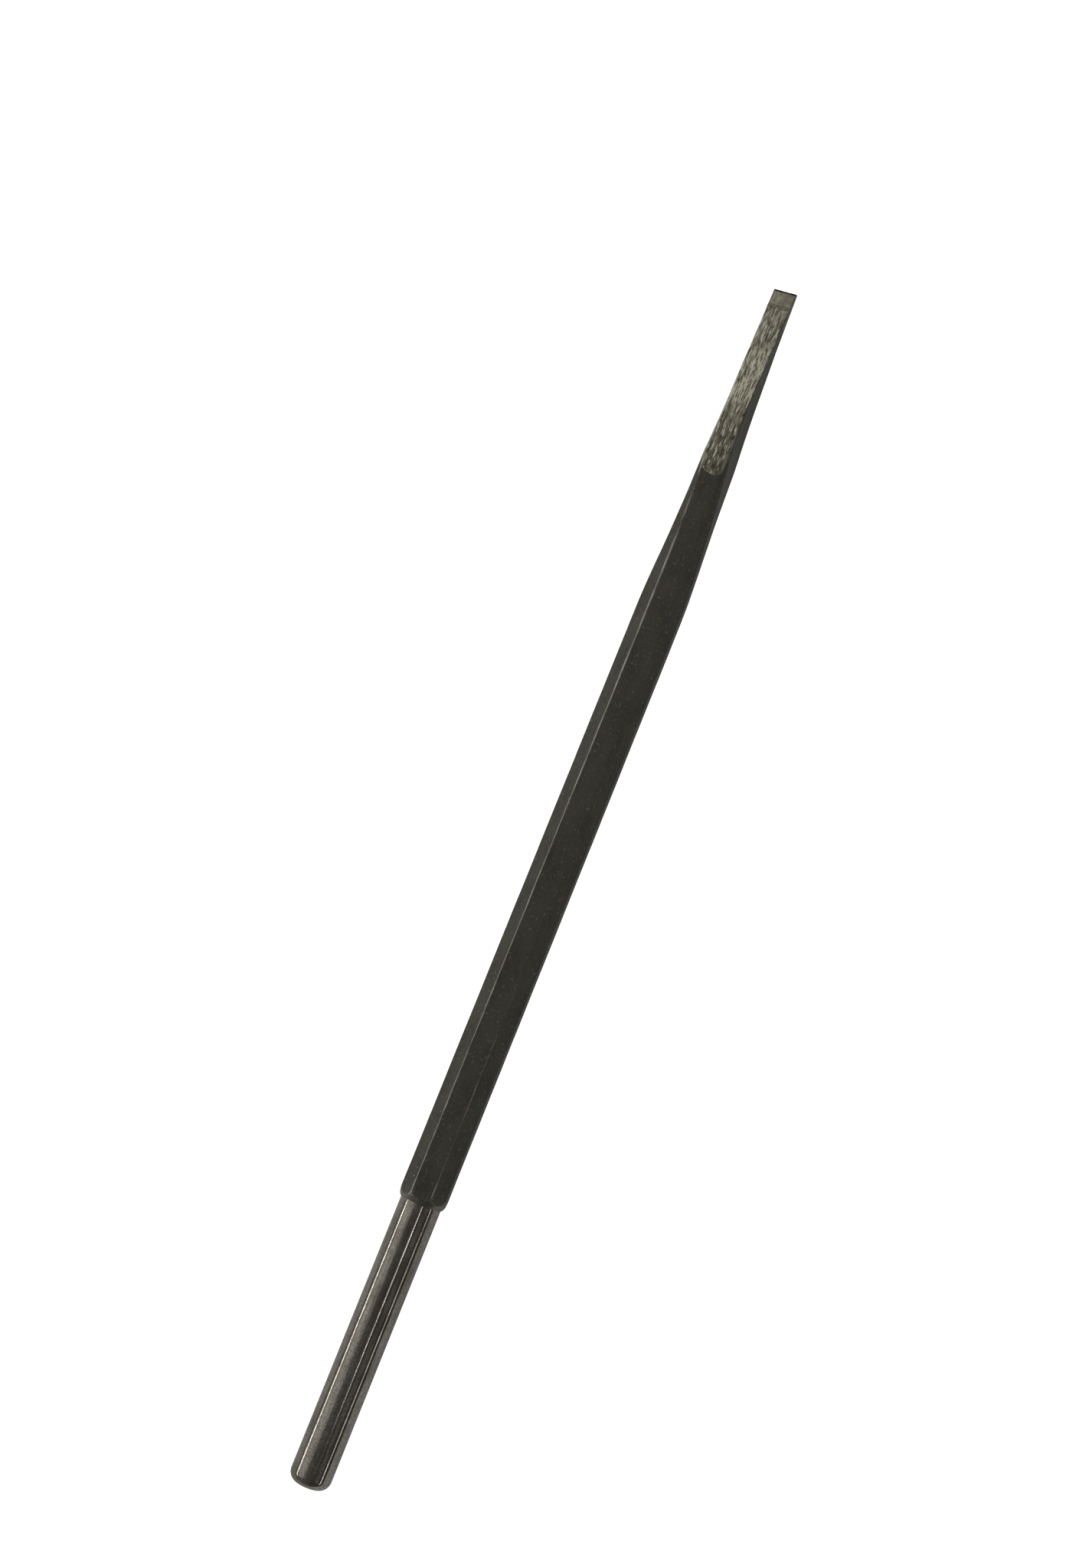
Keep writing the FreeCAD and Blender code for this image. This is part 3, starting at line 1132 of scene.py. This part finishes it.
    def cut_slot(self, bar: bpy.types.Object) -> None:
        """Cuts the plate's slot with a block as thick as the braze's outside.

        Args:
            bar: the bar, whose mesh is changed.
        """
        low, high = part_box("braze_joint")
        half = high.z / MM
        along = (low.x / MM, self.gauge.tip + self.cutter_past)
        cutter = make_block("slot_cutter", along, self.gauge.half_bar + self.cutter_past, half, -half)
        modifier = bar.modifiers.new("slot", "BOOLEAN")
        modifier.operation = "DIFFERENCE"
        modifier.solver = "EXACT"
        modifier.object = cutter
        bpy.context.view_layer.update()
        seen = bar.evaluated_get(bpy.context.evaluated_depsgraph_get())
        slotted = bpy.data.meshes.new_from_object(seen)
        bar.modifiers.clear()
        bar.data = slotted
        bpy.data.objects.remove(cutter)

    def mark_zones(self, bar: bpy.types.Object) -> None:
        """Stores how far each vertex is inside the ground faces and the turned part, and from an arris.

        ground is in mm along the blade from the line where the wheel ran out, and turned in mm of radius
        that the lathe took off. arris is the distance to the second nearest side. It is made to look nearer
        along the blade, where hands rub most, and farther on all but the most rubbed arrises. These changes
        paint a highlight as well as wear: the arrises kept brightest are the ones that face the lights, and
        the widening along the blade paints a bright rim on the ground faces' edges.

        Args:
            bar: the bar, before the forging set moves it.
        """
        gauge = self.gauge
        points = points_of(bar)
        x, y, z = points.T
        reach = gauge.tip - x
        half_y, half_z, corner = self.sides(x)
        wedge = gauge.half_wedge(reach)
        top = self.forged_top(x, y, self.hammer_loss(x, np.arctan2(z, y)))
        run_out = (top - wedge) / gauge.grind_slope
        limit = self.mark_limit
        ground = np.where(wedge - np.abs(z) < self.on_plane, np.clip(run_out, -limit, limit), -limit)
        angle = np.arange(8) * math.pi / 4
        offsets = np.stack([half_y, corner, half_z, corner] * 2, axis=1)
        gaps = offsets - (y[:, None] * np.cos(angle) + z[:, None] * np.sin(angle))
        arris = np.sort(gaps, axis=1)[:, 1]
        profile_x, profile_r = self.shank_profile()
        lathe = np.interp(x, profile_x, profile_r, right=gauge.uncut)
        off = np.minimum(gaps.min(axis=1) - self.lathe_touch, self.nose_mark)
        turned = np.where(x < self.lathe_from, 1.0, off)
        turned = np.where(lathe >= gauge.uncut, -1.0, turned)
        mark_points(bar, "ground", ground)
        mark_points(bar, "turned", turned)
        # painted highlight as well as wear: the arris that faces the side lights, and towards the shoulder
        # the next one, keep the most bright steel; the others get less
        most = self.beside(y, z, self.rubbed_lit_arris)
        next_most = self.beside(y, z, math.pi - self.rubbed_lit_arris) * smooth_step(x, *self.next_rubbed_lit_over)
        dulling = self.less_rubbed_less_lit * (1.0 - most) * (1.0 - self.next_rubbed_lit * next_most)
        bared = 1.0 - self.blade_rubbed_lit * smooth_step(reach, *self.blade_rubbed_lit_over)
        mark_points(bar, "arris", np.where(x < self.skin_from, limit, arris * bared + dulling))

    def beside(self, y: Array, z: Array, arris: float) -> Array:
        """1 beside the arris at an angle around the bar, and 0 away from it."""
        apart = np.angle(np.exp(1j * (np.arctan2(z, y) - arris)))
        return 1.0 - smooth_step(np.abs(apart), *self.beside_over)

    def build(self) -> bpy.types.Object:
        """Makes the bar as one closed mesh in its place."""
        x, lathe = self.stations()
        half_y, half_z, corner = self.sides(x)
        rings = self.section.rings(x, half_y, half_z, corner, self.arris_radii(x))
        rings = self.turn_down(self.forge(rings), lathe)
        bar = make_piece("forged_bar", *closed_tube(rings))
        self.cut_slot(bar)
        self.mark_zones(bar)
        move_points(bar, self.forging.apply(points_of(bar), self.gauge.tip))
        bar.data.materials.append(BarFinish().material())
        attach(bar, "root")
        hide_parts("chisel_body")
        return bar


@dataclass
class CuttingPlate:
    """The hard-metal plate, ground flush with the blade's faces and sides."""

    gauge: Gauge
    forging: ForgingSet
    section: EightSided = field(default_factory=lambda: EightSided(arc_points=3, flat_points=15))
    edge_round: float = 0.3
    side_break: float = 0.05
    arris_radius: float = 0.04
    chip_depth: float = 0.1
    chip_reach: float = 0.6
    chip_from: float = 0.62
    # where the painted shade along the cutting edge fades out, in mm back from the edge; the side settings do
    # the same along the sides
    painted_edge_shade_over: Span = (0.45, 0.95)
    side_share: float = 0.45
    side_over: Span = (0.06, 0.2)

    def build(self) -> bpy.types.Object:
        """Makes the plate: rings back from the cutting edge, drawn in a little at both ends."""
        low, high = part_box("carbide_tip")
        half_thick = high.z / MM
        length = (high.x - low.x) / MM
        turn = np.linspace(0.0, math.pi / 2, 8)
        start = self.edge_round * (1.0 - np.cos(turn))
        rounding = self.edge_round * (1.0 - np.sin(turn))
        straight = np.linspace(start[-1], length - self.side_break, 56)[1:]
        reach = np.concatenate([start, straight, [length]])[::-1]
        draw_in = np.concatenate([rounding, np.zeros(len(straight)), [self.side_break]])[::-1]
        half_y = self.gauge.half_width(reach) - np.minimum(draw_in, self.side_break)
        half_z = np.minimum(half_thick, self.gauge.half_wedge(reach)) - draw_in
        corner = (half_y + half_z - self.side_break) / math.sqrt(2.0)
        radius = np.full((len(reach), 8), self.arris_radius)
        rings = self.section.rings(self.gauge.tip - reach, half_y, half_z, corner, radius)
        chips = Undulation(seed=41, longest=2.4, shortest=0.5).at(rings[..., 1], np.zeros(rings.shape[:2]))
        at_edge = smooth_step(rings[..., 0], self.gauge.tip - self.chip_reach, self.gauge.tip)
        rings[..., 0] -= self.chip_depth * smooth_step(chips, self.chip_from, 1.0) * at_edge
        plate = make_piece("cutting_plate", *closed_tube(rings))
        # painted shade: a dark band along the cutting edge, and a weaker one along both sides, stored on the
        # vertices for the plate's material
        from_edge = self.gauge.tip - points_of(plate)[:, 0]
        from_side = self.gauge.half_width(from_edge) - np.abs(points_of(plate)[:, 1])
        at_side = self.side_share * (1.0 - smooth_step(from_side, *self.side_over))
        at_front = 1.0 - smooth_step(from_edge, *self.painted_edge_shade_over)
        mark_points(plate, "painted_edge_shade", np.maximum(at_front, at_side))
        move_points(plate, self.forging.apply(points_of(plate), self.gauge.tip))
        plate.data.materials.append(HardMetalFinish().material())
        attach(plate, "root")
        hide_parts("carbide_tip")
        return plate


@dataclass
class BrazeFilm:
    """The braze lining: a thin band bent into a U around the back of the plate."""

    gauge: Gauge
    forging: ForgingSet
    feather: float = 0.004
    across: int = 24
    along_cheek: int = 40

    def build(self) -> bpy.types.Object:
        """Makes the film: a flat ring carried along the U from one feather edge to the other.

        The outside follows the slot and is cut off by the grinding plane. The inside follows the plate.
        """
        gauge = self.gauge
        slot_low, slot_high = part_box("braze_joint")
        plate_low, plate_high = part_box("carbide_tip")
        outer, inner = slot_high.z / MM, plate_high.z / MM
        floor, back = slot_low.x / MM, plate_low.x / MM
        feather_x = gauge.tip - (inner - gauge.half_land) / gauge.grind_slope
        count = self.along_cheek
        cheek = np.linspace(feather_x, back, count)
        down = np.linspace(inner, -inner, 12)[1:-1]
        inner_x = np.concatenate([cheek, np.full(len(down), back), cheek[::-1]])
        inner_z = np.concatenate([np.full(count, inner), down, np.full(count, -inner)])
        outer_x = np.concatenate([cheek, np.full(len(down), floor), cheek[::-1]])
        outer_x[[count - 1, -count]] = floor
        cut = np.minimum(outer, gauge.half_wedge(gauge.tip - cheek)) + self.feather
        outer_z = np.concatenate([cut, down, -cut[::-1]])
        share = np.linspace(-1.0, 1.0, self.across)
        outer_y = gauge.half_width(gauge.tip - outer_x)[:, None] * share
        inner_y = gauge.half_width(gauge.tip - inner_x)[:, None] * share[::-1]
        wide = np.ones(self.across)
        outside = np.stack([outer_x[:, None] * wide, outer_y, outer_z[:, None] * wide], axis=-1)
        inside = np.stack([inner_x[:, None] * wide, inner_y, inner_z[:, None] * wide], axis=-1)
        film = make_piece("braze_film", *closed_tube(np.concatenate([outside, inside], axis=1)))
        move_points(film, self.forging.apply(points_of(film), gauge.tip))
        film.data.materials.append(BrazeFinish().material())
        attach(film, "root")
        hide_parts("braze_joint")
        return film


# --- The studio ---


@dataclass(frozen=True)
class StripLight:
    """A long soft light beside the tool, aimed at it.

    The bearing is the angle from straight up, positive towards -Y, around the tool's axis.
    """

    name: str
    bearing: float
    spread: float
    radiance: float
    distance: float = 1.3
    length: float = 2.6
    shift: float = 0.3
    colour: tuple[float, float, float] = (1.0, 0.988, 0.962)

    def build(self, target: Vector) -> None:
        """Makes the light. Its width follows from its spread in degrees, and its power from its radiance.

        Args:
            target: the point that it is aimed at, in metres.
        """
        data = bpy.data.lights.new(self.name, "AREA")
        data.shape = "RECTANGLE"
        data.size = self.length
        data.size_y = 2.0 * self.distance * math.tan(math.radians(self.spread / 2.0))
        data.energy = math.pi * self.radiance * data.size * data.size_y
        data.color = self.colour
        light = bpy.data.objects.new(self.name, data)
        bearing = math.radians(self.bearing)
        away = Vector((0.0, -math.sin(bearing), math.cos(bearing)))
        across = Vector((0.0, math.cos(bearing), math.sin(bearing)))
        place_at = target + away * self.distance + Vector((self.shift, 0.0, 0.0))
        turn = Matrix((Vector((1.0, 0.0, 0.0)), across, away)).transposed()
        light.matrix_world = Matrix.Translation(place_at) @ turn.to_4x4()
        light.visible_camera = False
        bpy.context.scene.collection.objects.link(light)


@dataclass(frozen=True)
class Camera:
    """The view: nearly straight down on the tool, rolled and pitched a little, with the tool leaning.

    The pitch, roll and lean are in degrees, distances in mm, and the offsets say how far the middle of the
    tool is to the right of and above the view's centre.
    """

    lens: float = 50.0
    distance: float = 649.5
    pitch: float = 6.802
    roll: float = 8.5
    lean: float = 22.152
    right: float = 6.89
    above: float = -25.24

    def build(self, low: Vector, high: Vector) -> None:
        """Makes the scene's camera.

        Args:
            low: the tool's lowest corner, in metres.
            high: its highest corner.
        """
        pitch, roll, lean = (math.radians(angle) for angle in (self.pitch, self.roll, self.lean))
        back = Vector((-math.sin(pitch), -math.sin(roll) * math.cos(pitch), math.cos(roll) * math.cos(pitch)))
        along = Vector((1.0, 0.0, 0.0)) - back * back.x
        along.normalize()
        side = along.cross(back)
        right = math.sin(lean) * along + math.cos(lean) * side
        up = math.cos(lean) * along - math.sin(lean) * side
        middle = Vector(((low.x + high.x) / 2, 0.0, 0.0))
        place_at = middle + (self.distance * back - self.right * right - self.above * up) * MM
        data = bpy.data.cameras.new("camera")
        data.lens = self.lens
        data.sensor_fit = "VERTICAL"
        data.sensor_width = data.sensor_height = 36.0
        camera = bpy.data.objects.new("camera", data)
        camera.matrix_world = Matrix.Translation(place_at) @ Matrix((right, up, back)).transposed().to_4x4()
        bpy.context.scene.collection.objects.link(camera)
        bpy.context.scene.camera = camera


@dataclass(frozen=True)
class Studio:
    """A pale lit table, a dim room and strip lights along the tool."""

    floor_size: float = 3.0
    floor_thickness: float = 20.0
    greys: Span = (0.94, 0.96)
    floor_glow: float = 0.1
    floor_seen_glow: float = 1.15
    room: Span = (0.05, 0.19)
    lights: tuple[StripLight, ...] = (
        StripLight("side_window", -71.5, 3.4, 5.0),
        StripLight("side_wall_low", -61.0, 9.0, 0.25),
        StripLight("side_wall_middle", -52.0, 9.0, 0.4),
        StripLight("side_wall_high", -43.0, 9.0, 0.33),
        StripLight("side_ceiling_near", -34.0, 9.0, 0.22),
        StripLight("side_ceiling_far", -25.0, 9.0, 0.17),
        StripLight("ceiling_tube", 22.0, 2.0, 4.2, shift=0.925),
        StripLight("far_wall", 47.0, 24.0, 0.08),
        StripLight("far_tube", 73.0, 4.0, 1.45),
    )

    def floor_material(self) -> bpy.types.Material:
        """A matt white table top that glows softly, and brightest straight into the camera."""
        material, bench, vector = start_material("pale_table")
        shader = material.node_tree.nodes["Principled BSDF"]
        shader.inputs["Roughness"].default_value = 0.9
        shader.inputs["Specular IOR Level"].default_value = 0.1
        dark, light = ((grey, grey, grey, 1.0) for grey in self.greys)
        shade = bench.tint(bench.noise(vector, 220.0, 2.0, 0.0), dark, light)
        bench.feed(shader.inputs["Base Color"], shade)
        bench.feed(shader.inputs["Emission Color"], shade)
        seen = bench.add("ShaderNodeLightPath").outputs["Is Camera Ray"]
        glow = bench.blend(seen, self.floor_glow, self.floor_seen_glow)
        bench.feed(shader.inputs["Emission Strength"], glow)
        return material

    def build(self, low: Vector, high: Vector) -> None:
        """Makes the table, the room's light and the strip lights.

        Args:
            low: the tool's lowest corner, in metres.
            high: its highest corner.
        """
        half = self.floor_size / 2 / MM
        top = low.z / MM
        floor = make_block("table", (-half, half), half, top, top - self.floor_thickness)
        floor.data.polygons.foreach_set("use_smooth", np.zeros(len(floor.data.polygons), bool))
        floor.data.materials.append(self.floor_material())
        floor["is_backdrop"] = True
        world = bpy.data.worlds.new("room")
        bpy.context.scene.world = world
        world.use_nodes = True
        bench = NodeBench(world.node_tree)
        background = world.node_tree.nodes["Background"]
        seen = bench.add("ShaderNodeLightPath").outputs["Is Camera Ray"]
        across = bench.parts(bench.add("ShaderNodeTexCoord").outputs["Generated"])[1]
        glow = bench.blend(bench.step(across, -1.0, 1.0), *self.room)
        bench.feed(background.inputs["Color"], (1.0, 0.99, 0.97, 1.0))
        bench.feed(background.inputs["Strength"], bench.blend(seen, glow, self.floor_seen_glow))
        target = Vector(((low.x + high.x) / 2, 0.0, 0.0))
        for light in self.lights:
            light.build(target)
        Camera().build(low, high)
        bpy.context.scene.view_settings.view_transform = "Standard"


def main() -> None:
    """Loads the frame, builds each piece over it and sets up the studio."""
    logging.basicConfig(level=logging.INFO, format="%(name)s: %(message)s")
    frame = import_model()
    cad_low, cad_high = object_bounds()
    gauge = Gauge.from_frame(frame["record"])
    forging = ForgingSet()
    make_texture_groups()
    for maker in (ForgedBar(gauge, forging), CuttingPlate(gauge, forging), BrazeFilm(gauge, forging)):
        piece = maker.build()
        LOG.info("%s: %d faces", piece.name, len(piece.data.polygons))
    Studio().build(cad_low, cad_high)


if __name__ == "__main__":
    main()
